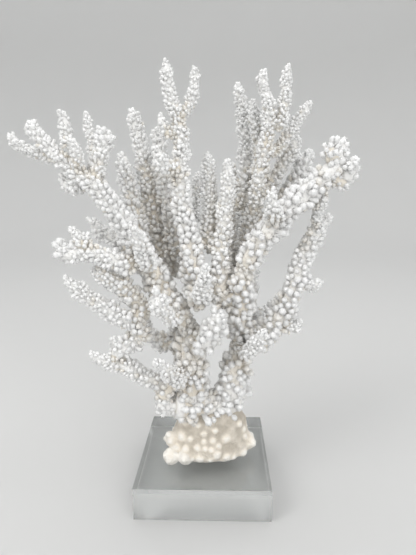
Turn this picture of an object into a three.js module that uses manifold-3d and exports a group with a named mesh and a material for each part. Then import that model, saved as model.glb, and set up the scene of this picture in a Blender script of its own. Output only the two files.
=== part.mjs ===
// A white branching coral standing on a clear acrylic block.
// Millimetres, +Z up. The origin is the centre of the block's underside; +X is right, +Y is back.
import * as THREE from 'three';
import Module from 'manifold-3d';

// Driving dimensions.
const BLOCK_SIDE = 101.6;
const BLOCK_HEIGHT = 25.4;
const GAP = 0.3;
const TUBE_SIDES = 7;
const RING_STEP = 18;
const TIP_RINGS = [0.75];
const SMOOTHING = 0.1;
const FOOT_SIDES = 14;
const FOOT_CENTRE = new THREE.Vector2(2, -1);

// The holdfast's outline at its widest, seen from above, relative to FOOT_CENTRE.
const FOOT_OUTLINE = [[37, -4], [27, 17], [8, 24], [-12, 20], [-27, 6], [-30, -12], [-14, -23], [4, -26],
  [18, -23], [30, -16]];

// The holdfast's levels: height above the block, size in X and Y, and shift in X.
const FOOT_LEVELS = [
  { height: 0, sizeX: 0.62, sizeY: 0.74, shiftX: -4 },
  { height: 5, sizeX: 0.97, sizeY: 0.97, shiftX: 0 },
  { height: 11, sizeX: 1, sizeY: 0.95, shiftX: 0 },
  { height: 20, sizeX: 0.9, sizeY: 0.8, shiftX: 0 },
  { height: 31, sizeX: 0.84, sizeY: 0.68, shiftX: 2 },
  { height: 40, sizeX: 0.66, sizeY: 0.5, shiftX: 3 },
];

// Rounded lumps on the holdfast's rim: centre and radius.
const FOOT_LUMPS = [
  { centre: [-25, -22, 33], radius: 7 },
  { centre: [-26, -12, 42], radius: 6.5 },
  { centre: [-14, -24, 33], radius: 6 },
  { centre: [36, -7, 37], radius: 6 },
];

// Every branch: its name, the piece that it forks from, how far along that piece (0 to 1), its radius over
// the branchlets at the fork and at the tip, and the points that it passes after the fork. The trunks start
// at a point of their own.
const BRANCHES = [
  // trunks
  ['left_trunk', [-5, -4, 46], 0, [16, 15], [[-9, -9, 92], [-8, -11, 138]]],
  ['right_trunk', [17, -2, 46], 0, [17, 14], [[23, -4, 86], [30, -5, 124]]],
  ['back_left_trunk', 'left_trunk', 0.35, [12, 11], [[-18, 14, 108], [-22, 24, 146]]],
  ['back_right_trunk', 'right_trunk', 0.4, [12, 11], [[32, 16, 110], [38, 26, 148]]],

  // upper left
  ['upper_left_limb', 'left_trunk', 0.9, [13.5, 6.5],
    [[-24, -14, 157], [-40, -16, 187], [-58, -20, 221], [-73, -22, 243], [-93, -20, 255], [-105, -18, 270],
      [-119, -15, 281]]],
  ['upper_left_prong_a', 'upper_left_limb', 0.8, [6.5, 4.5], [[-91, -20, 272], [-90, -20, 289]]],
  ['upper_left_prong_b', 'upper_left_limb', 0.73, [6.5, 5.5], [[-82, -27, 258], [-81, -29, 271]]],
  ['upper_left_prong_c', 'upper_left_limb', 0.69, [8, 6.5], [[-70, -14, 262], [-65, -10, 278]]],
  ['upper_left_prong_d', 'upper_left_limb', 0.66, [7, 4.5], [[-78, 2, 258], [-88, 18, 296]]],
  ['far_left_prong', 'upper_left_limb', 0.83, [6.5, 4.5], [[-114, -8, 264], [-127, -4, 268], [-140, 0, 275]]],
  ['upper_left_low_finger', 'upper_left_limb', 0.66, [7.5, 5.5], [[-88, -15, 241], [-101, -13, 240]]],

  // top centre
  ['top_centre_limb', 'left_trunk', 0.97, [13, 5],
    [[-5, -12, 165], [-8, -8, 196], [-13, -5, 224], [-15, -4, 252], [-14, -4, 280], [-20, -5, 300],
      [-24, -5, 324]]],
  ['top_centre_prong', 'top_centre_limb', 0.78, [6.5, 4.5], [[-8, -1, 296], [-2, 0, 309], [-4, 0, 322]]],
  ['top_centre_side_a', 'top_centre_limb', 0.72, [7, 5], [[-24, -6, 276], [-28, -6, 289]]],
  ['top_centre_side_b', 'top_centre_limb', 0.6, [8.5, 7], [[-25, -12, 254], [-31, -14, 267]]],
  ['middle_stem', 'left_trunk', 0.9, [12, 6.5],
    [[10, -10, 152], [15, -8, 176], [15, -5, 202], [19, -4, 230], [19, -4, 256]]],
  ['middle_back_stem', 'top_centre_limb', 0.2, [11, 6], [[4, 3, 196], [6, 10, 234], [4, 15, 265]]],

  // right: the limb with the clustered head
  ['right_limb', 'right_trunk', 0.95, [13, 11], [[29, -12, 150], [29, -16, 184]]],
  ['right_upper_limb', 'right_limb', 0.93, [11.5, 10.5],
    [[42, -20, 201], [54, -24, 217], [67, -25, 231], [81, -25, 243], [94, -25, 254]]],
  ['head_top_left', 'right_upper_limb', 0.88, [9.5, 8], [[85, -28, 256], [87, -29, 266]]],
  ['head_top', 'right_upper_limb', 0.93, [9.5, 8], [[94, -22, 260], [96, -20, 268]]],
  ['head_right', 'right_upper_limb', 0.95, [9.5, 8], [[98, -28, 251], [103, -30, 251]]],
  ['head_low', 'right_upper_limb', 0.82, [9, 7.5], [[91, -26, 241], [99, -27, 240]]],
  ['right_low_finger', 'right_upper_limb', 0.66, [7, 5], [[76, -26, 229], [87, -27, 232]]],
  ['right_front_prong', 'right_upper_limb', 0.42, [8.5, 6], [[49, -38, 222], [47, -42, 236]]],

  // right side
  ['right_side_limb', 'right_trunk', 0.62, [14, 8],
    [[41, -9, 118], [54, -12, 137], [65, -14, 157], [71, -15, 182], [78, -15, 203], [89, -15, 217]]],
  ['right_side_prong_a', 'right_side_limb', 0.78, [7, 5], [[77, -20, 210], [80, -21, 222]]],
  ['right_side_prong_b', 'right_side_limb', 0.55, [8, 5.5], [[78, -18, 168], [86, -20, 169]]],
  ['right_side_prong_c', 'right_side_limb', 0.3, [8, 6], [[62, -14, 128], [72, -16, 141]]],

  // top right
  ['top_right_limb', 'right_trunk', 0.97, [11.5, 5],
    [[34, 6, 158], [37, 13, 205], [42, 12, 238], [46, 10, 264], [50, 8, 292], [42, 8, 320]]],
  ['top_right_prong', 'top_right_limb', 0.74, [7.5, 5], [[59, 10, 284], [61, 10, 304], [63, 10, 323]]],
  ['diagonal_prong_a', 'top_right_limb', 0.66, [8, 5], [[64, 17, 276], [81, 20, 301]]],
  ['diagonal_prong_b', 'top_right_limb', 0.5, [10, 7], [[56, 23, 246], [66, 25, 262], [74, 25, 276]]],
  ['far_right_branch', 'top_right_limb', 0.38, [12, 9.5], [[58, 24, 220], [74, 32, 242], [85, 38, 267]]],
  ['back_centre_right_branch', 'top_right_limb', 0.34, [10, 6], [[34, 30, 240], [34, 42, 284], [28, 45, 319]]],
  ['right_back_stem', 'right_trunk', 0.95, [10, 7],
    [[23, 12, 165], [21, 26, 197], [21, 34, 230], [24, 36, 256]]],
  ['top_right_side', 'top_right_limb', 0.5, [8, 6], [[44, 24, 262], [39, 25, 302]]],

  // left arms
  ['left_arm_upper', 'upper_left_limb', 0.15, [11.5, 7],
    [[-48, -25, 184], [-68, -28, 194], [-86, -30, 197], [-101, -30, 193]]],
  ['left_arm_upper_prong', 'left_arm_upper', 0.7, [7.5, 6], [[-82, -30, 206], [-90, -29, 209]]],
  ['left_arm_middle', 'left_trunk', 0.88, [13, 8], [[-44, -20, 157], [-61, -22, 174], [-78, -26, 181]]],
  ['left_arm_lower', 'left_trunk', 0.72, [12, 7],
    [[-34, -17, 130], [-53, -22, 144], [-70, -25, 154], [-83, -28, 166], [-94, -28, 175]]],
  ['left_arm_low', 'left_trunk', 0.4, [11, 6.5],
    [[-38, -17, 94], [-54, -20, 105], [-69, -22, 113], [-83, -20, 112]]],
  ['left_arm_low_prong', 'left_arm_low', 0.68, [7, 5], [[-66, -23, 119], [-64, -22, 130]]],
  ['left_knob', 'left_trunk', 0.22, [10, 8], [[-26, -16, 74], [-37, -20, 70]]],
  ['left_back_arm', 'back_left_trunk', 0.9, [11, 7.5], [[-44, 14, 180], [-68, 14, 200], [-91, 15, 210]]],

  // towards the front
  ['front_low_left', 'left_trunk', 0.5, [9.5, 6.5], [[-20, -31, 104], [-30, -43, 120]]],
  ['front_low_centre', 'left_trunk', 0.6, [13, 11], [[3, -27, 131], [10, -31, 142], [16, -32, 154]]],
  ['front_low_right', 'right_trunk', 0.75, [9.5, 6.5], [[35, -26, 122], [43, -38, 140]]],
  ['front_left', 'left_trunk', 0.95, [9.5, 6.5], [[-22, -33, 150], [-32, -47, 168]]],
  ['front_centre', 'top_centre_limb', 0.12, [9.5, 6.5], [[2, -34, 168], [4, -47, 188]]],
  ['front_upper_left', 'upper_left_limb', 0.27, [9.5, 6.5], [[-38, -37, 196], [-42, -48, 214]]],

  // towards the back
  ['back_left_limb', 'back_left_trunk', 0.95, [12, 7],
    [[-34, 31, 186], [-43, 35, 228], [-51, 44, 270], [-59, 49, 302]]],
  ['back_left_stem', 'back_left_trunk', 0.97, [10.5, 8],
    [[-22, 22, 186], [-27, 26, 220], [-33, 30, 254], [-36, 34, 284]]],
  ['back_left_arm', 'back_left_trunk', 0.95, [12, 8],
    [[-39, 18, 175], [-50, 22, 208], [-60, 29, 240], [-66, 34, 266]]],
  ['back_left_low_arm', 'back_left_trunk', 0.3, [11.5, 8], [[-36, 20, 112], [-55, 26, 125]]],
  ['back_centre_limb', 'back_left_trunk', 0.97, [10, 6], [[-16, 45, 182], [-10, 58, 218], [-6, 64, 252]]],
  ['back_right_limb', 'back_right_trunk', 0.95, [10, 6], [[34, 48, 186], [30, 60, 226]]],
  ['back_right_arm', 'back_right_trunk', 0.75, [9.5, 6], [[56, 38, 132], [73, 44, 148], [84, 47, 177]]],
];

const wasm = await Module();
wasm.setup();

// A closed solid from rings of points, each joined to the next, with a point at each end.
function solidFromRings(rings, firstPoint, lastPoint) {
  const sides = rings[0].length;
  const points = [firstPoint, ...rings.flat(), lastPoint];
  const last = points.length - 1;
  const triangles = [];
  for (let side = 0; side < sides; side += 1) {
    const next = (side + 1) % sides;
    triangles.push(0, 1 + next, 1 + side);
    for (let ring = 0; ring < rings.length - 1; ring += 1) {
      const low = 1 + ring * sides;
      const high = low + sides;
      triangles.push(low + side, low + next, high + next);
      triangles.push(low + side, high + next, high + side);
    }
    const top = last - sides;
    triangles.push(top + side, top + next, last);
  }
  const geometry = new THREE.BufferGeometry().setFromPoints(points);
  geometry.setIndex(triangles);
  return toSolid(geometry);
}

function toSolid(geometry) {
  const mesh = new wasm.Mesh({
    numProp: 3,
    vertProperties: new Float32Array(geometry.attributes.position.array),
    triVerts: new Uint32Array(geometry.index.array),
  });
  return new wasm.Manifold(mesh);
}

function toGeometry(solid) {
  const mesh = solid.getMesh();
  const geometry = new THREE.BufferGeometry();
  geometry.setAttribute('position', new THREE.BufferAttribute(new Float32Array(mesh.vertProperties), 3));
  geometry.setIndex(new THREE.BufferAttribute(new Uint32Array(mesh.triVerts), 1));
  return geometry;
}

// A tapered tube with a rounded tip. The margin makes it thicker all round.
function branchSolid(branch, margin) {
  const { curve, radii } = branch;
  const length = curve.getLength();
  const tipRadius = radii[1];
  const straight = 1 - tipRadius / length;
  const steps = Math.max(2, Math.round((length * straight) / RING_STEP));
  const stations = Array.from({ length: steps + 1 }, (_, step) => (
    { at: (step / steps) * straight, size: 1 }
  ));
  for (const part of TIP_RINGS) {
    stations.push({ at: straight + (part * tipRadius) / length, size: Math.sqrt(1 - part * part) });
  }
  const side = new THREE.Vector3();
  const rings = stations.map(({ at, size }) => {
    const centre = curve.getPointAt(at);
    const tangent = curve.getTangentAt(at);
    side.crossVectors(branch.upright, tangent).normalize();
    const other = new THREE.Vector3().crossVectors(tangent, side);
    const radius = THREE.MathUtils.lerp(radii[0], radii[1], Math.min(1, at / straight)) * size + margin;
    return ringPoints(centre, side, other, radius);
  });
  const end = curve.getTangentAt(1).multiplyScalar(margin).add(curve.getPointAt(1));
  return solidFromRings(rings, curve.getPointAt(0), end);
}

function ringPoints(centre, side, other, radius) {
  return Array.from({ length: TUBE_SIDES }, (_, index) => {
    const angle = (index / TUBE_SIDES) * Math.PI * 2;
    return centre.clone()
      .addScaledVector(side, Math.cos(angle) * radius)
      .addScaledVector(other, Math.sin(angle) * radius);
  });
}

// A direction well away from the whole route, so that the rings never twist.
function uprightFor(curve) {
  const chord = curve.getPointAt(1).sub(curve.getPointAt(0)).normalize();
  const choices = [new THREE.Vector3(1, 0, 0), new THREE.Vector3(0, 1, 0)];
  return Math.abs(chord.x) < Math.abs(chord.y) ? choices[0] : choices[1];
}

function footLevel({ height, sizeX, sizeY, shiftX }, margin) {
  const outline = FOOT_OUTLINE.map(([x, y]) => {
    const spread = 1 + margin / (Math.hypot(x, y) * Math.min(sizeX, sizeY));
    return new THREE.Vector3(
      FOOT_CENTRE.x + shiftX + x * sizeX * spread,
      FOOT_CENTRE.y + y * sizeY * spread,
      BLOCK_HEIGHT + GAP + height + margin,
    );
  });
  const curve = new THREE.CatmullRomCurve3(outline, true);
  return curve.getSpacedPoints(FOOT_SIDES).slice(0, FOOT_SIDES);
}

function centreOf(points) {
  const sum = points.reduce((total, point) => total.add(point), new THREE.Vector3());
  return sum.divideScalar(points.length);
}

function lumpSolid({ centre, radius: nominal }, margin) {
  const meridians = 8;
  const radius = nominal + margin;
  const rings = [-0.7, 0, 0.7].map((level) => Array.from({ length: meridians }, (_, index) => {
    const angle = (index / meridians) * Math.PI * 2;
    const spread = radius * Math.sqrt(1 - level * level);
    return new THREE.Vector3(Math.cos(angle) * spread, Math.sin(angle) * spread, level * radius);
  }));
  const low = new THREE.Vector3(0, 0, -radius);
  const high = new THREE.Vector3(0, 0, radius);
  return solidFromRings(rings, low, high).translate(centre);
}

function holdfastSolid(margin) {
  const rings = FOOT_LEVELS.map((level) => footLevel(level, margin));
  const bottom = centreOf(rings[0]);
  const top = centreOf(rings[rings.length - 1]);
  const body = solidFromRings(rings, bottom, top);
  return FOOT_LUMPS.reduce((solid, lump) => solid.add(lumpSolid(lump, margin)), body);
}

function largestPiece(solid) {
  const pieces = solid.simplify(SMOOTHING).decompose();
  return pieces.reduce((best, piece) => (piece.volume() > best.volume() ? piece : best));
}

// The routes come first: a fork's place is measured along the piece that it leaves.
function routeBranches(rows) {
  const routed = new Map();
  for (const [name, from, at, radii, points] of rows) {
    const start = Array.isArray(from) ? new THREE.Vector3(...from) : routed.get(from).curve.getPointAt(at);
    const route = [start, ...points.map((point) => new THREE.Vector3(...point))];
    const curve = new THREE.CatmullRomCurve3(route);
    routed.set(name, { curve, radii, upright: uprightFor(curve) });
  }
  return routed;
}

function coralMesh(name, solid) {
  const material = new THREE.MeshStandardMaterial({ color: '#f3efe6', roughness: 0.9, metalness: 0 });
  const mesh = new THREE.Mesh(toGeometry(solid), material);
  mesh.name = name;
  return mesh;
}

// Each branch is cut back to the gap from every piece that comes before it.
function coralMeshes() {
  const meshes = [coralMesh('holdfast', holdfastSolid(0))];
  let taken = holdfastSolid(GAP);
  for (const [name, branch] of routeBranches(BRANCHES)) {
    const cut = branchSolid(branch, 0).subtract(taken);
    meshes.push(coralMesh(name, largestPiece(cut)));
    taken = taken.add(branchSolid(branch, GAP));
  }
  return meshes;
}

function blockMesh() {
  const material = new THREE.MeshStandardMaterial({
    color: '#eef4f2', roughness: 0.03, metalness: 0, transparent: true, opacity: 0.3,
  });
  const mesh = new THREE.Mesh(new THREE.BoxGeometry(BLOCK_SIDE, BLOCK_SIDE, BLOCK_HEIGHT), material);
  mesh.position.z = BLOCK_HEIGHT / 2;
  mesh.name = 'acrylic_block';
  return mesh;
}

const coralOnBlock = new THREE.Group();
coralOnBlock.add(blockMesh(), ...coralMeshes());
export default coralOnBlock;
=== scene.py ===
"""A white branching coral on a clear acrylic block: the looks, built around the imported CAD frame.

Metres, +Z up. Each branch of the CAD frame is one faceted tube that reaches the tips of its branchlets.
Its middle line is traced here, and a granular core with knobbly branchlets is grown around that line.
"""
import math

import bpy
import numpy as np
from mathutils import Matrix, Vector, noise
from mathutils.bvhtree import BVHTree
from mathutils.kdtree import KDTree


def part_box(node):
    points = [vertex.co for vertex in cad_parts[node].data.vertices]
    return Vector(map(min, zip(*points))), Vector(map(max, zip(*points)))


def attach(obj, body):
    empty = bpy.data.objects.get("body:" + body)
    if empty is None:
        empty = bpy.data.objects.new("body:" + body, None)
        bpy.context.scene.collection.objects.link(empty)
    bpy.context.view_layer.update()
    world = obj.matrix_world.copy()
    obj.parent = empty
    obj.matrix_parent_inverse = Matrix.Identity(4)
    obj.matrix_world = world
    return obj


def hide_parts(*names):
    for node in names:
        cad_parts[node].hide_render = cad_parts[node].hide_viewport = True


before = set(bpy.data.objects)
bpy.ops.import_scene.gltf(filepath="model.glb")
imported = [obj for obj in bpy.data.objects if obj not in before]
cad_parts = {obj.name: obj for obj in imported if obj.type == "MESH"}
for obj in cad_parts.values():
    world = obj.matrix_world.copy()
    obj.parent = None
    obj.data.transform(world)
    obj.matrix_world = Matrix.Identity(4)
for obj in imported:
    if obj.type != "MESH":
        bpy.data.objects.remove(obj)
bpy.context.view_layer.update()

MM = 0.001
BLOCK = "acrylic_block"
FOOT = "holdfast"
FLOOR = -0.4 * MM

# Tracing the middle line of a branch.
RAYS = 12
TRACE_STEP = 3.0 * MM
MOST_SECTIONS = 200
MOST_SKIPPED = 8
UNEVEN = 1.7
TIP_END = 14 * MM
TIP_WIDTH_RANK = 0.7
ROUNDED_SECTIONS = 3
LONGEST_JOIN = 34 * MM
BEHIND_FORK = 0.3
SAMPLE_STEP = 1.4 * MM
FEWEST_SAMPLES = 6
SMOOTHING_PASSES = 4

# The stem inside a branch.
STEM_SHARE = 0.54
LONGEST_BRANCHLET = 5.2 * MM
STEM_GRAIN_SPACING = 2.1 * MM
STEM_GRAIN = 0.35 * MM
FEWEST_SIDES = 9
FEWEST_RINGS = 5

# Branchlets: round heads with a bump for each small cup of the coral.
HEAD_SHARE = 0.25
SMALLEST_HEAD = 1.45 * MM
LARGEST_HEAD = 2.7 * MM
CUP = 1.5 * MM
CUP_HEIGHT = 0.42
FINE_HEAD = 1.4 * CUP
STALK_WIDTH = 0.62
SHAPES = 9
BEND = 0.16

# Where branchlets stand. Spacing is in head radii, the rest in shares of the branch's reach or the spacing.
GOLDEN_ANGLE = math.radians(137.508)
SPACING = 2.15
TURN_SCATTER = 0.16
STEP_SCATTER = 0.12
LEAN = math.radians(60)
TIP_LEAN = math.radians(14)
LEAN_SCATTER = 7
ROOTED = 0.6
TIP_ZONE = 1.6
LENGTH_SCATTER = (0.82, 1.06)
SIZE_SCATTER = (0.82, 1.15)
TWIG_SIZE = 9 * MM
TWIG_REACH = 0.6
CROWDED = 0.66
TIP_CELL = 4 * MM
INSIDE_OTHER = 0.5

# How open to the room a place is, and how much painted light that gives it: sheltered places get a beige
# painted shade.
OPEN_RAYS = 20
OPEN_REACH = 70 * MM
LOOKOUT = 1.15 / math.sin(LEAN)
WELL_OPEN = 0.45
TIP_OPENNESS = 0.7
SHELTERED = 0.1
OPEN_GAIN = 0.28
RAISED_GAIN = 0.25

# The holdfast: its heights are shares of its own height.
FOOT_VOXEL = 1.0 * MM
LUMPS_PER_METRE = (120, 300)
LUMP_HEIGHT = 1.3 * MM
NUB_LEVELS = (0.08, 0.85)
NUB_PATCH = 16 * MM
NUB_RADIUS = (1.8 * MM, 3.6 * MM)
NUB_SPACING = 1.25
NUB_HEIGHT = 0.6
# The holdfast is held to a darker beige: painted shade for the shade it stands in.
WHITEST_FOOT = 0.19

# The block and the light.
POLISHED_EDGE = 0.6 * MM
LIGHT_SPREAD = math.radians(100)
LIT_POINT = (0, 0, 0.17)

# The camera: where it stands, how far it turns, looks down and rolls, and its focal length in image heights.
CAMERA_PLACE = (15.7 * MM, -320 * MM, 238.6 * MM)
CAMERA_TURN = math.radians(2.05)
CAMERA_LOOK = math.radians(90 - 11.75)
CAMERA_ROLL = math.radians(-0.56)
FOCAL_LENGTH = 425 / 555
SENSOR = 36


# ---------------------------------------------------------------- centre lines

def mesh_tree(obj):
    """The vertices of a CAD solid, and a tree to cast rays against it."""
    points = [v.co.copy() for v in obj.data.vertices]
    faces = [tuple(p.vertices) for p in obj.data.polygons]
    return points, BVHTree.FromPolygons(points, faces)


def cross_section(tree, point, direction):
    """Where a plane across the branch cuts its solid: the middle, the mean radius and how uneven it is."""
    side = direction.orthogonal().normalized()
    other = direction.cross(side)
    hits = []
    for ray in range(RAYS):
        angle = 2 * math.pi * ray / RAYS
        hit = tree.ray_cast(point, side * math.cos(angle) + other * math.sin(angle))[0]
        if hit is None:
            return None
        hits.append(hit)
    middle = sum(hits, Vector()) / RAYS
    reach = [(hit - middle).length for hit in hits]
    return middle, sum(reach) / RAYS, max(reach) / max(min(reach), 1e-6)


def march(tree, tip, inward):
    """Sections of a branch from its tip inwards, stepping over the few that a fork makes uneven."""
    line = []
    middle = tip
    skipped = 0
    while len(line) < MOST_SECTIONS:
        found = cross_section(tree, middle + inward * TRACE_STEP, inward)
        if found:
            found = cross_section(tree, found[0], inward)
        if not found or skipped > MOST_SKIPPED:
            break
        if line and found[2] > UNEVEN:
            skipped += 1
            middle = middle + inward * TRACE_STEP
            continue
        skipped = 0
        if line:
            inward = (found[0] - line[-1][0]).normalized()
        middle = found[0]
        line.append((middle, found[1]))
    return line


def trace(node, root):
    """The middle line of a branch from its fork to its tip, as (point, radius) pairs."""
    points, tree = mesh_tree(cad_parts[node])
    tip = max(points, key=lambda p: (p - root).length)
    end = [p for p in points if (p - tip).length < TIP_END]
    aims = [sum(group, Vector()) / len(group) for group in (points, end)] + [root]
    lines = [march(tree, tip, (aim - tip).normalized()) for aim in aims]
    line = max(lines, key=len)
    line.reverse()
    axis = (tip - line[0][0]).normalized()
    widths = sorted((p - tip - axis * (p - tip).dot(axis)).length for p in end)
    end_radius = widths[int(TIP_WIDTH_RANK * len(widths))]
    full = len(line) - ROUNDED_SECTIONS
    line = [(p, r if i < full else max(r, end_radius)) for i, (p, r) in enumerate(line)]
    return line + [(tip, end_radius)]


def join_to_parent(name, line, lines):
    """The line's first point is moved on to the middle line of the piece that the branch forks from."""
    start, radius = line[0]
    outward = (line[1][0] - start).normalized()
    nearest = None
    for other, other_line in lines.items():
        if other == name:
            continue
        for point, _ in other_line:
            gap = (point - start).length
            behind = (point - start).dot(outward) < BEHIND_FORK * gap
            if behind and (nearest is None or gap < nearest[0]):
                nearest = (gap, point)
    if nearest and nearest[0] < LONGEST_JOIN:
        return [(nearest[1], radius)] + line
    return [(start - outward * radius, radius)] + line


def resample(line):
    """Evenly spaced, smoothed points and radii along a line."""
    points = np.array([tuple(p) for p, _ in line])
    radii = np.array([r for _, r in line])
    along = np.concatenate([[0], np.cumsum(np.linalg.norm(np.diff(points, axis=0), axis=1))])
    count = max(FEWEST_SAMPLES, int(round(along[-1] / SAMPLE_STEP)))
    at = np.linspace(0, along[-1], count)
    even = np.stack([np.interp(at, along, points[:, axis]) for axis in range(3)], axis=1)
    size = np.interp(at, along, radii)
    for _ in range(SMOOTHING_PASSES):
        even[1:-1] = (even[:-2] + 2 * even[1:-1] + even[2:]) / 4
        size[1:-1] = (size[:-2] + 2 * size[1:-1] + size[2:]) / 4
    return at, even, size


class Branch:
    """A branch's middle line with a steady frame of directions along it."""

    def __init__(self, name, line):
        self.name = name
        self.at, self.points, self.reach = resample(line)
        self.length = self.at[-1]
        tangents = np.gradient(self.points, self.at, axis=0)
        self.tangents = tangents / np.linalg.norm(tangents, axis=1)[:, None]
        self.sides = self.carry_side()
        self.core = core_radius(self.reach)

    def carry_side(self):
        """A direction across the line at each point, turned as little as the line allows."""
        side = np.array(Vector(self.tangents[0]).orthogonal().normalized())
        sides = []
        for tangent in self.tangents:
            side = side - tangent * side.dot(tangent)
            side = side / np.linalg.norm(side)
            sides.append(side)
        return np.array(sides)

    def frame_at(self, at):
        """Point, tangent, side, reach and core radius at a distance along the line."""
        place = np.interp(at, self.at, np.arange(len(self.at)))
        low = min(int(place), len(self.at) - 2)
        part = place - low
        values = []
        for array in (self.points, self.tangents, self.sides, self.reach, self.core):
            values.append(array[low] * (1 - part) + array[low + 1] * part)
        return values


def core_radius(reach):
    """The stem's own radius under branchlets that reach out to the CAD tube."""
    return np.maximum(STEM_SHARE * reach, reach - LONGEST_BRANCHLET)


# ---------------------------------------------------------------- mesh pieces

def lattice_faces(rings, sides):
    """Triangles of a tube whose rings are turned half a step from each other, with two poles after them."""
    faces = []
    for ring in range(rings - 1):
        for side in range(sides):
            here = ring * sides + side
            right = ring * sides + (side + 1) % sides
            up = here + sides
            up_right = right + sides
            if ring % 2:
                faces.append((here, right, up_right))
                faces.append((here, up_right, up))
            else:
                faces.append((here, right, up))
                faces.append((right, up_right, up))
    low_pole = rings * sides
    top_pole = low_pole + 1
    last = (rings - 1) * sides
    for side in range(sides):
        after = (side + 1) % sides
        faces.append((after, side, low_pole))
        faces.append((last + side, last + after, top_pole))
    return np.array(faces)


def geodesic(frequency):
    """A unit ball of even triangles, and which of its vertices are the middles of bumps."""
    golden = (1 + math.sqrt(5)) / 2
    corners = []
    for a in (-1, 1):
        for b in (-golden, golden):
            corners += [(0, a, b), (a, b, 0), (b, 0, a)]
    corners = np.array(corners)
    near = [[j for j in range(12) if 1.9 < np.linalg.norm(corners[i] - corners[j]) < 2.1] for i in range(12)]
    triples = [(i, j, k) for i in range(12) for j in near[i] for k in near[j] if i < j < k and k in near[i]]
    points, raised, faces, seen = [], [], [], {}

    def vertex(corner, i, j):
        k = frequency - i - j
        place = (corners[corner[0]] * i + corners[corner[1]] * j + corners[corner[2]] * k) / frequency
        key = tuple(np.round(place, 5))
        if key not in seen:
            seen[key] = len(points)
            points.append(place / np.linalg.norm(place))
            raised.append((i - j) % 3 == 0 if frequency % 3 == 0 else i % 2 == j % 2 == 0)
        return seen[key]

    for corner in triples:
        a, b, c = corners[list(corner)]
        outward = np.dot(np.cross(a - c, b - c), a + b + c) > 0
        for i in range(frequency):
            for j in range(frequency - i):
                cells = [(vertex(corner, i, j), vertex(corner, i + 1, j), vertex(corner, i, j + 1))]
                if i + j < frequency - 1:
                    middle = vertex(corner, i + 1, j + 1)
                    cells.append((vertex(corner, i + 1, j), middle, vertex(corner, i, j + 1)))
                faces += [cell if outward else cell[::-1] for cell in cells]
    return np.array(points), np.array(raised), np.array(faces)


class Branchlet:
    """A short stalk with a round, bumpy head. Widths are in head radii; the stalk stretches to any length."""

    def __init__(self, ball, bump, seed):
        points, raised, self.faces = ball
        dice = np.random.default_rng(seed)
        turn = np.linalg.qr(dice.normal(size=(3, 3)))[0]
        turn *= np.sign(np.linalg.det(turn))
        points = points @ turn.T
        low = np.minimum(points[:, 2], 0)
        along = 1 + low
        flat = np.maximum(np.linalg.norm(points[:, :2], axis=1), 1e-6)
        stalk = (STALK_WIDTH + (1 - STALK_WIDTH) * along ** 2) * np.minimum(1, flat * 3)
        width = np.where(low < 0, stalk, flat)
        grow = 1 / (1 + 0.8 * bump) + raised * bump * dice.uniform(0.6, 1.3, len(points))
        self.across = points[:, :2] / flat[:, None] * (width * grow)[:, None]
        self.stalk = np.where(low < 0, along, 1.0)
        self.head = np.maximum(points[:, 2], 0) * grow
        # Cup tips get full painted light, the valleys between them half: painted shade between the cups.
        self.lit = 0.5 + 0.5 * raised
        self.bend = dice.normal(0, BEND, 2)


class MeshBuilder:
    """Collects vertices, faces and each vertex's painted light and shade (with tone on the holdfast), for one
    joined mesh.
    """

    def __init__(self):
        self.points = []
        self.faces = []
        self.exposed = []
        self.count = 0

    def add(self, points, faces, exposed):
        self.points.append(points)
        self.faces.append(faces + self.count)
        self.exposed.append(exposed)
        self.count += len(points)

    def to_object(self, name):
        points = np.concatenate(self.points)
        faces = np.concatenate(self.faces)
        mesh = bpy.data.meshes.new(name)
        mesh.vertices.add(len(points))
        mesh.vertices.foreach_set("co", points.astype(np.float32).ravel())
        mesh.loops.add(len(faces) * 3)
        mesh.loops.foreach_set("vertex_index", faces.astype(np.int32).ravel())
        mesh.polygons.add(len(faces))
        mesh.polygons.foreach_set("loop_start", np.arange(0, len(faces) * 3, 3, dtype=np.int32))
        mesh.update(calc_edges=True)
        mesh.shade_smooth()
        exposed = mesh.attributes.new("exposed", "FLOAT", "POINT")
        exposed.data.foreach_set("value", np.concatenate(self.exposed).astype(np.float32))
        obj = bpy.data.objects.new(name, mesh)
        bpy.context.scene.collection.objects.link(obj)
        return obj


def core_tube(branch, builder, colony):
    """The stem: a closed, grainy tube round the middle line."""
    widest = float(branch.core.max())
    sides = max(FEWEST_SIDES, 3 * int(round(2 * math.pi * widest / STEM_GRAIN_SPACING / 3)))
    rings = max(FEWEST_RINGS, int(round(branch.length / STEM_GRAIN_SPACING)))
    stops = np.linspace(0, branch.length - branch.core[-1] * 0.5, rings)
    dice = np.random.default_rng(len(branch.name) * 131 + rings)
    points = np.zeros((rings, sides, 3))
    exposed = np.zeros((rings, sides))
    for ring, at in enumerate(stops):
        middle, tangent, side, reach, core = branch.frame_at(at)
        other = np.cross(tangent, side)
        to_tip = (branch.length - at) / core
        rounding = math.sqrt(max(0.15, 1 - max(0.0, 1 - to_tip / 1.2) ** 2))
        angles = (np.arange(sides) + 0.5 * (ring % 2)) * 2 * math.pi / sides
        raised = (np.arange(sides) - ring // 2 - 2 * (ring % 2)) % 3 == 0
        grain = raised * STEM_GRAIN * dice.uniform(0.2, 1.5, sides)
        spread = core * rounding * (1 + dice.normal(0, 0.02, sides)) + grain
        around = np.cos(angles)[:, None] * side + np.sin(angles)[:, None] * other
        points[ring] = middle + around * spread[:, None]
        # The stem is painted by how open its place is: beige painted shade where sheltered, whiter where
        # open.
        exposed[ring] = painted_light_level(0, colony.openness(middle + side * reach * 1.1))
    ends = np.array([branch.points[0], branch.points[-1]])
    points = np.concatenate([points.reshape(-1, 3), ends])
    exposed = np.append(exposed.ravel(), [0, exposed[-1, 0]])
    builder.add(points, lattice_faces(rings, sides), exposed)


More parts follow.
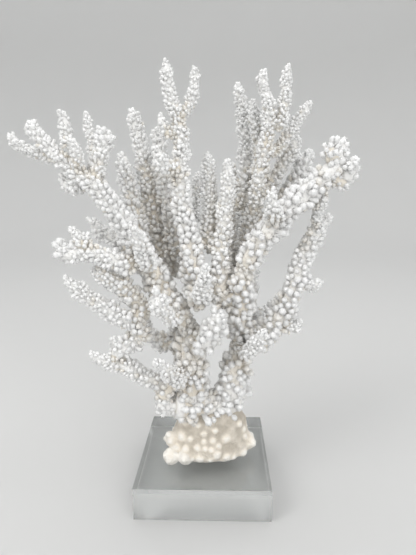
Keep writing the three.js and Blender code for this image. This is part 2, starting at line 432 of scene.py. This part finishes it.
def painted_light_level(raised, openness):
    """Painted light and shade: how white the coral is painted, from how far it stands out of its stem and how
    open the place is.
    """
    open_share = min(1.0, openness / WELL_OPEN)
    of_place = SHELTERED + OPEN_GAIN * open_share ** 2
    of_height = RAISED_GAIN + (1 - RAISED_GAIN - OPEN_GAIN) * open_share
    return of_place + raised * of_height


def head_radius(reach):
    """The size of a branchlet's head on a branch with this reach."""
    return min(LARGEST_HEAD, max(SMALLEST_HEAD, HEAD_SHARE * reach))


def even_directions(count):
    """Directions spread evenly over a ball."""
    directions = []
    for index in range(count):
        height = 1 - (2 * index + 1) / count
        flat = math.sqrt(1 - height * height)
        angle = index * GOLDEN_ANGLE
        directions.append(Vector((math.cos(angle) * flat, math.sin(angle) * flat, height)))
    return directions


class Colony:
    """Every branch, with what is needed to keep branchlets out of each other."""

    def __init__(self, branches):
        self.branches = branches
        total = sum(len(b.at) for b in branches)
        self.lines = KDTree(total)
        self.owner = []
        for index, branch in enumerate(branches):
            for point, reach in zip(branch.points, branch.reach):
                self.lines.insert(Vector(point), len(self.owner))
                self.owner.append((index, float(reach)))
        self.lines.balance()
        self.widest = max(float(b.reach.max()) for b in branches)
        self.tips = {}
        self.solids = self.all_solids()
        self.directions = even_directions(OPEN_RAYS)

    def all_solids(self):
        """One tree of every CAD solid of the coral."""
        points, faces = [], []
        for name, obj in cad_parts.items():
            if name == BLOCK:
                continue
            start = len(points)
            points += [v.co.copy() for v in obj.data.vertices]
            faces += [tuple(start + v for v in p.vertices) for p in obj.data.polygons]
        return BVHTree.FromPolygons(points, faces)

    def openness(self, place):
        """The share of directions that look out of the colony from a place."""
        start = Vector(place)
        hits = [self.solids.ray_cast(start, direction, OPEN_REACH)[0] for direction in self.directions]
        return hits.count(None) / OPEN_RAYS

    def inside_other(self, index, tip):
        """Whether a branchlet's tip would end deep inside another branch."""
        for _, sample, gap in self.lines.find_range(Vector(tip), self.widest):
            owner, reach = self.owner[sample]
            if owner != index and gap < INSIDE_OTHER * reach:
                return True
        return False

    def crowded(self, tip, room):
        """Whether another tip is nearer than room. A tip that has room is remembered."""
        key = tuple(int(math.floor(c / TIP_CELL)) for c in tip)
        for dx in (-1, 0, 1):
            for dy in (-1, 0, 1):
                for dz in (-1, 0, 1):
                    for other in self.tips.get((key[0] + dx, key[1] + dy, key[2] + dz), ()):
                        if np.linalg.norm(other - tip) < room:
                            return True
        self.tips.setdefault(key, []).append(tip)
        return False


def grow_branchlets(colony, index, builder, shapes):
    """Branchlets in a loose spiral, leaning towards the tip and closing over the end of the branch."""
    branch = colony.branches[index]
    dice = np.random.default_rng(977 + index)
    at = 0.0
    turn = dice.uniform(0, 2 * math.pi)
    while at < branch.length:
        reach = branch.frame_at(at)[3]
        radius = head_radius(reach)
        spacing = SPACING * radius
        to_tip = branch.length - at
        closing = math.sqrt(max(0.12, 1 - max(0.0, 1 - to_tip / reach) ** 2))
        at += 0.87 * spacing ** 2 / (2 * math.pi * reach * closing)
        turn += GOLDEN_ANGLE + dice.normal(0, TURN_SCATTER)
        here = at + dice.normal(0, STEP_SCATTER) * spacing
        if here > branch.length:
            continue
        middle, tangent, side, reach, core = branch.frame_at(max(0.0, here))
        other = np.cross(tangent, side)
        outward = math.cos(turn) * side + math.sin(turn) * other
        ending = max(0.0, 1 - (branch.length - here) / (TIP_ZONE * reach))
        lean = LEAN + (TIP_LEAN - LEAN) * ending + math.radians(dice.normal(0, LEAN_SCATTER))
        direction = outward * math.sin(lean) + tangent * math.cos(lean)
        foot = middle + outward * core * ROOTED * (1 - ending)
        length = (reach - core * ROOTED) / math.sin(LEAN) * dice.uniform(*LENGTH_SCATTER)
        length = min(length, branch.length - here + reach)
        outer = foot + direction * length
        length *= 0.98 + TWIG_REACH * noise.noise(Vector(outer) / TWIG_SIZE)
        tip = foot + direction * length
        if colony.inside_other(index, tip) or colony.crowded(tip, CROWDED * spacing):
            continue
        openness = colony.openness(middle + direction * reach * LOOKOUT)
        size = radius * dice.uniform(*SIZE_SCATTER)
        stamp(builder, shapes, dice, foot, direction, length, size, openness)
    tip_branchlet(branch, builder, shapes, dice)


def tip_branchlet(branch, builder, shapes, dice):
    """The branch's own leading tip."""
    reach = float(branch.reach[-1])
    middle, tangent, _, _, _ = branch.frame_at(branch.length - reach)
    stamp(builder, shapes, dice, middle, tangent, reach, head_radius(reach), TIP_OPENNESS)


def stamp(builder, shapes, dice, foot, direction, length, radius, openness):
    """Adds one branchlet, turned, bent and sized."""
    frequency = 3 if radius > FINE_HEAD else 2
    shape = shapes[frequency][int(dice.integers(len(shapes[frequency])))]
    up = Vector(direction).normalized()
    side = Matrix.Rotation(dice.uniform(0, 2 * math.pi), 3, up) @ up.orthogonal().normalized()
    other = np.array(up.cross(side))
    rise = shape.stalk * max(length - radius, 0.3 * radius) + shape.head * radius
    share = np.clip(rise / length, 0, 1)
    across = shape.across * radius + shape.bend * radius * share[:, None] ** 2
    points = foot + across[:, :1] * np.array(side) + across[:, 1:] * other + rise[:, None] * np.array(up)
    # Painted light: whiter towards the head, on the cup tips and where the place is open; painted shade lower
    # down and where sheltered.
    builder.add(points, shape.faces, painted_light_level(share ** 1.5 * shape.lit, openness))


def branchlet_shapes():
    """A few shapes to choose from, for small heads and for large ones."""
    shapes = {}
    for frequency in (2, 3):
        ball = geodesic(frequency)
        shapes[frequency] = [Branchlet(ball, CUP_HEIGHT, 10 * frequency + seed) for seed in range(SHAPES)]
    return shapes


# ---------------------------------------------------------------- coral pieces

def trace_branches():
    """Every branch with its middle line, the thickest first."""
    low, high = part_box(FOOT)
    root = Vector(((low.x + high.x) / 2, (low.y + high.y) / 2, low.z))
    names = [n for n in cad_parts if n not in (BLOCK, FOOT)]
    lines = {name: trace(name, root) for name in names}
    branches = [Branch(name, join_to_parent(name, line, lines)) for name, line in lines.items()]
    branches.sort(key=lambda b: (-float(b.reach.mean()), b.name))
    return branches


def build_branches(colony, shapes):
    """One mesh piece for each branch: its stem and its branchlets."""
    pieces = []
    for index, branch in enumerate(colony.branches):
        builder = MeshBuilder()
        core_tube(branch, builder, colony)
        grow_branchlets(colony, index, builder, shapes)
        piece = builder.to_object("coral_" + branch.name)
        declare_coral(piece, branch.name)
        pieces.append(piece)
    return pieces


def declare_coral(piece, node):
    """Puts a piece on the root body and hides the CAD solid it stands for."""
    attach(piece, "root")
    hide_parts(node)


def rounded_foot():
    """The CAD holdfast with its facets melted into one lumpy skin."""
    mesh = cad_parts[FOOT].data.copy()
    mesh.materials.clear()
    foot = bpy.data.objects.new("foot_source", mesh)
    bpy.context.scene.collection.objects.link(foot)
    remesh = foot.modifiers.new("remesh", "REMESH")
    remesh.mode = "VOXEL"
    remesh.voxel_size = FOOT_VOXEL
    smooth = foot.modifiers.new("smooth", "SMOOTH")
    smooth.iterations = 10
    smooth.factor = 0.6
    melted = bpy.data.meshes.new_from_object(foot.evaluated_get(bpy.context.evaluated_depsgraph_get()))
    melted.calc_loop_triangles()
    points = np.array([v.co[:] for v in melted.vertices])
    normals = np.array([v.normal[:] for v in melted.vertices])
    faces = np.array([t.vertices[:] for t in melted.loop_triangles])
    bpy.data.objects.remove(foot)
    bpy.data.meshes.remove(melted)
    bpy.data.meshes.remove(mesh)
    return points, normals, faces


def choose_nubs(points, normals, height, rim):
    """Well-spaced places for the nubs of the holdfast, in patches and along its rim."""
    dice = np.random.default_rng(4)
    nubs = []
    for index in dice.permutation(len(points)):
        place, normal = points[index], normals[index]
        if not NUB_LEVELS[0] <= height[index] <= NUB_LEVELS[1] or normal[2] < -0.3:
            continue
        radius = dice.uniform(*NUB_RADIUS)
        if noise.noise(Vector(place) / NUB_PATCH) < 0.12 - 0.5 * rim[index]:
            continue
        if any(np.linalg.norm(place - other) < NUB_SPACING * (radius + size) for other, size in nubs):
            continue
        nubs.append((place, radius))
    return nubs


def build_foot():
    """The flared holdfast: beige and lumpy, with pale nubs and a pale rim; its beige is kept dark as painted
    shade.
    """
    points, normals, faces = rounded_foot()
    low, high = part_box(FOOT)
    middle = np.array(((low.x + high.x) / 2, (low.y + high.y) / 2))
    half = np.array((high.x - low.x, high.y - low.y)) / 2
    coarse, fine = LUMPS_PER_METRE
    lumps = np.array([noise.noise(Vector(p) * coarse) + 0.5 * noise.noise(Vector(p) * fine) for p in points])
    height = (points[:, 2] - low.z) / (high.z - low.z)
    outward = np.linalg.norm((points[:, :2] - middle) / half, axis=1)
    rim = np.clip(1 - height * 4, 0, 1) ** 1.3 + np.clip(outward * 4 - 3.2, 0, 1)
    nub = np.zeros(len(points))
    raised = np.zeros(len(points))
    for place, radius in choose_nubs(points, normals, height, rim):
        near = np.exp(-(np.linalg.norm(points - place, axis=1) / radius) ** 3)
        nub = np.maximum(nub, near)
        raised = np.maximum(raised, near * radius * NUB_HEIGHT)
    free = np.clip(height * 6, 0, 1)
    points = points + normals * ((lumps * LUMP_HEIGHT + raised) * free)[:, None]
    # Low values keep the holdfast beige as painted shade; lumps, rim and nubs add its own paler tone.
    exposed = 0.06 * np.clip(lumps + 0.4, 0, 1) + 0.15 * rim + 0.16 * nub
    builder = MeshBuilder()
    builder.add(points, faces, np.minimum(exposed, WHITEST_FOOT))
    piece = builder.to_object("coral_holdfast")
    declare_coral(piece, FOOT)
    return piece


# ---------------------------------------------------------------- materials

def new_material(name):
    """A node material with its nodes, its links and its shader."""
    material = bpy.data.materials.new(name)
    material.use_nodes = True
    nodes = material.node_tree.nodes
    return material, nodes, material.node_tree.links, nodes["Principled BSDF"]


def coral_material():
    """Bleached skeleton with painted light and shade: white where it stands out, warm beige painted shade
    where it is sheltered, with fine cups.
    """
    material, nodes, links, shader = new_material("bleached_coral")
    shader.inputs["Roughness"].default_value = 0.85
    shader.inputs["Specular IOR Level"].default_value = 0.25
    shader.inputs["Subsurface Weight"].default_value = 0.7
    shader.inputs["Subsurface Radius"].default_value = (1.0, 1.0, 1.0)
    shader.inputs["Subsurface Scale"].default_value = 1.6 * MM
    painted_shade_node = nodes.new("ShaderNodeAttribute")
    painted_shade_node.attribute_name = "exposed"
    ramp = nodes.new("ShaderNodeValToRGB")
    # From painted shade to painted light: warm beige at low values, white at high ones.
    stops = (
        (0.0, (0.52, 0.475, 0.41)),
        (0.1, (0.82, 0.765, 0.68)),
        (0.24, (0.885, 0.865, 0.83)),
        (0.42, (0.925, 0.918, 0.905)),
        (0.7, (0.945, 0.946, 0.943)),
    )
    elements = ramp.color_ramp.elements
    elements.remove(elements[1])
    elements[0].position = stops[0][0]
    elements[0].color = (*stops[0][1], 1)
    for position, colour in stops[1:]:
        elements.new(position).color = (*colour, 1)
    links.new(painted_shade_node.outputs["Fac"], ramp.inputs["Fac"])
    links.new(ramp.outputs["Color"], shader.inputs["Base Color"])
    where = nodes.new("ShaderNodeTexCoord")
    cups = nodes.new("ShaderNodeTexVoronoi")
    cups.feature = "SMOOTH_F1"
    cups.inputs["Scale"].default_value = 0.9 / CUP
    cups.inputs["Smoothness"].default_value = 0.5
    grain = nodes.new("ShaderNodeTexNoise")
    grain.inputs["Scale"].default_value = 2.2 / CUP
    grain.inputs["Detail"].default_value = 2
    links.new(where.outputs["Object"], cups.inputs["Vector"])
    links.new(where.outputs["Object"], grain.inputs["Vector"])
    cup_bump = nodes.new("ShaderNodeBump")
    cup_bump.invert = True
    cup_bump.inputs["Strength"].default_value = 0.8
    cup_bump.inputs["Distance"].default_value = 0.7 * MM
    grain_bump = nodes.new("ShaderNodeBump")
    grain_bump.inputs["Strength"].default_value = 0.4
    grain_bump.inputs["Distance"].default_value = 0.2 * MM
    links.new(cups.outputs["Distance"], cup_bump.inputs["Height"])
    links.new(grain.outputs["Fac"], grain_bump.inputs["Height"])
    links.new(cup_bump.outputs["Normal"], grain_bump.inputs["Normal"])
    links.new(grain_bump.outputs["Normal"], shader.inputs["Normal"])
    return material


def acrylic_material():
    """Clear cast acrylic, with the faintest waviness of a polished face."""
    material, nodes, links, shader = new_material("clear_acrylic")
    shader.inputs["Base Color"].default_value = (0.975, 0.99, 0.985, 1)
    shader.inputs["Transmission Weight"].default_value = 1.0
    shader.inputs["IOR"].default_value = 1.49
    shader.inputs["Roughness"].default_value = 0.0
    waves = nodes.new("ShaderNodeTexNoise")
    waves.inputs["Scale"].default_value = 30
    bump = nodes.new("ShaderNodeBump")
    bump.inputs["Strength"].default_value = 0.02
    bump.inputs["Distance"].default_value = 0.1 * MM
    where = nodes.new("ShaderNodeTexCoord")
    links.new(where.outputs["Object"], waves.inputs["Vector"])
    links.new(waves.outputs["Fac"], bump.inputs["Height"])
    links.new(bump.outputs["Normal"], shader.inputs["Normal"])
    return material


def finish_block():
    """The CAD block stays, in clear acrylic and with its edges a little rounded."""
    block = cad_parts[BLOCK]
    block.data.materials.clear()
    block.data.materials.append(acrylic_material())
    polished_edges = block.modifiers.new("polished_edges", "BEVEL")
    polished_edges.width = POLISHED_EDGE
    polished_edges.segments = 3


def floor_material():
    """Plain pale matt floor."""
    material, _, _, shader = new_material("pale_floor")
    shader.inputs["Base Color"].default_value = (0.6, 0.602, 0.598, 1)
    shader.inputs["Roughness"].default_value = 0.9
    return material


# ---------------------------------------------------------------- stage, light and camera

def build_stage():
    """A pale round floor whose far edge sweeps up all round, so that no side has a horizon."""
    flat, curve, top = 1.3, 0.9, 2.6
    profile = [(0.0, 0.0), (flat * 0.5, 0.0), (flat, 0.0)]
    for step in range(1, 9):
        angle = math.pi / 2 * step / 8
        profile.append((flat + curve * math.sin(angle), curve * (1 - math.cos(angle))))
    profile.append((flat + curve, top))
    turns = 72
    points = [(0, 0, FLOOR)]
    for radius, height in profile[1:]:
        for turn in range(turns):
            angle = 2 * math.pi * turn / turns
            points.append((radius * math.cos(angle), radius * math.sin(angle), height + FLOOR))
    faces = [(0, 1 + turn, 1 + (turn + 1) % turns) for turn in range(turns)]
    for ring in range(len(profile) - 2):
        for turn in range(turns):
            here = 1 + ring * turns + turn
            after = 1 + ring * turns + (turn + 1) % turns
            faces.append((here, here + turns, after + turns, after))
    mesh = bpy.data.meshes.new("floor")
    mesh.from_pydata(points, [], faces)
    mesh.shade_smooth()
    mesh.materials.append(floor_material())
    floor = bpy.data.objects.new("floor", mesh)
    bpy.context.scene.collection.objects.link(floor)


def area_light(name, place, size, power, colour=(1, 1, 1)):
    """A soft square light that faces the middle of the coral."""
    data = bpy.data.lights.new(name, "AREA")
    data.shape = "SQUARE"
    data.size = size
    data.spread = LIGHT_SPREAD
    data.energy = power
    data.color = colour
    light = bpy.data.objects.new(name, data)
    light.location = place
    light.rotation_euler = (Vector(LIT_POINT) - Vector(place)).to_track_quat("-Z", "Y").to_euler()
    bpy.context.scene.collection.objects.link(light)


def build_lights():
    """A key light from the upper left, a low fill from the right and an even white surrounding."""
    area_light("window", (-1.2, -0.95, 1.35), 1.0, 3.7, (1.0, 0.995, 0.98))
    area_light("fill", (0.85, -1.45, 0.6), 1.2, 4.2)
    world = bpy.data.worlds.new("studio")
    world.use_nodes = True
    world.node_tree.nodes["Background"].inputs["Color"].default_value = (1, 1, 1, 1)
    world.node_tree.nodes["Background"].inputs["Strength"].default_value = 1.5
    bpy.context.scene.world = world


def build_camera():
    """The photo's point of view, a little above the middle of the coral."""
    data = bpy.data.cameras.new("camera")
    data.sensor_width = SENSOR
    data.lens = SENSOR * FOCAL_LENGTH
    camera = bpy.data.objects.new("camera", data)
    camera.location = CAMERA_PLACE
    tilt = Matrix.Rotation(CAMERA_TURN, 4, "Z") @ Matrix.Rotation(CAMERA_LOOK, 4, "X")
    roll = Matrix.Rotation(CAMERA_ROLL, 4, "Z")
    camera.rotation_euler = (tilt @ roll).to_euler()
    bpy.context.scene.collection.objects.link(camera)
    bpy.context.scene.camera = camera


build_camera()
colony = Colony(trace_branches())
shapes = branchlet_shapes()
coral = build_branches(colony, shapes) + [build_foot()]
coral_finish = coral_material()
for piece in coral:
    piece.data.materials.append(coral_finish)
finish_block()
build_stage()
build_lights()
bpy.context.scene.view_settings.view_transform = "Standard"
